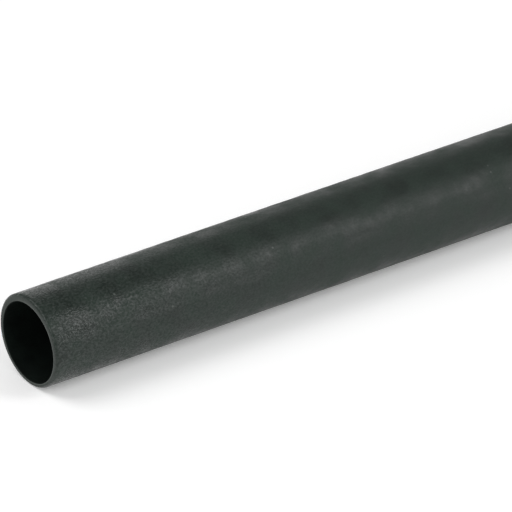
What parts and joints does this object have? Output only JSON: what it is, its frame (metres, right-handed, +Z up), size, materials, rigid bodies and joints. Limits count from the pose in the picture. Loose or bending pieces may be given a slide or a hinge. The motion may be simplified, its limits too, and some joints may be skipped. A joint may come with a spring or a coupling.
{
  "type": "heat shrink tube",
  "caption": "Straight cut length of heavy-wall heat shrink tube, as supplied: a plain matt black sleeve with square-cut ends that shrinks round a cable or splice when heated.",
  "frame": {"origin": "middle of the underside, on the surface that the tube lies on", "axes": "+Y along the tube, +X across it, +Z up; the end that the picture shows open is at -Y"},
  "size_m": [0.0152, 0.15, 0.0147],
  "materials": {
    "tube_skin": "matt greenish black cross-linked polyolefin with a fine pebbled grain, smoother on its cut faces"
  },
  "bodies": {
    "root": {"heat_shrink_tube": "tube_skin"}
  },
  "joints": []
}
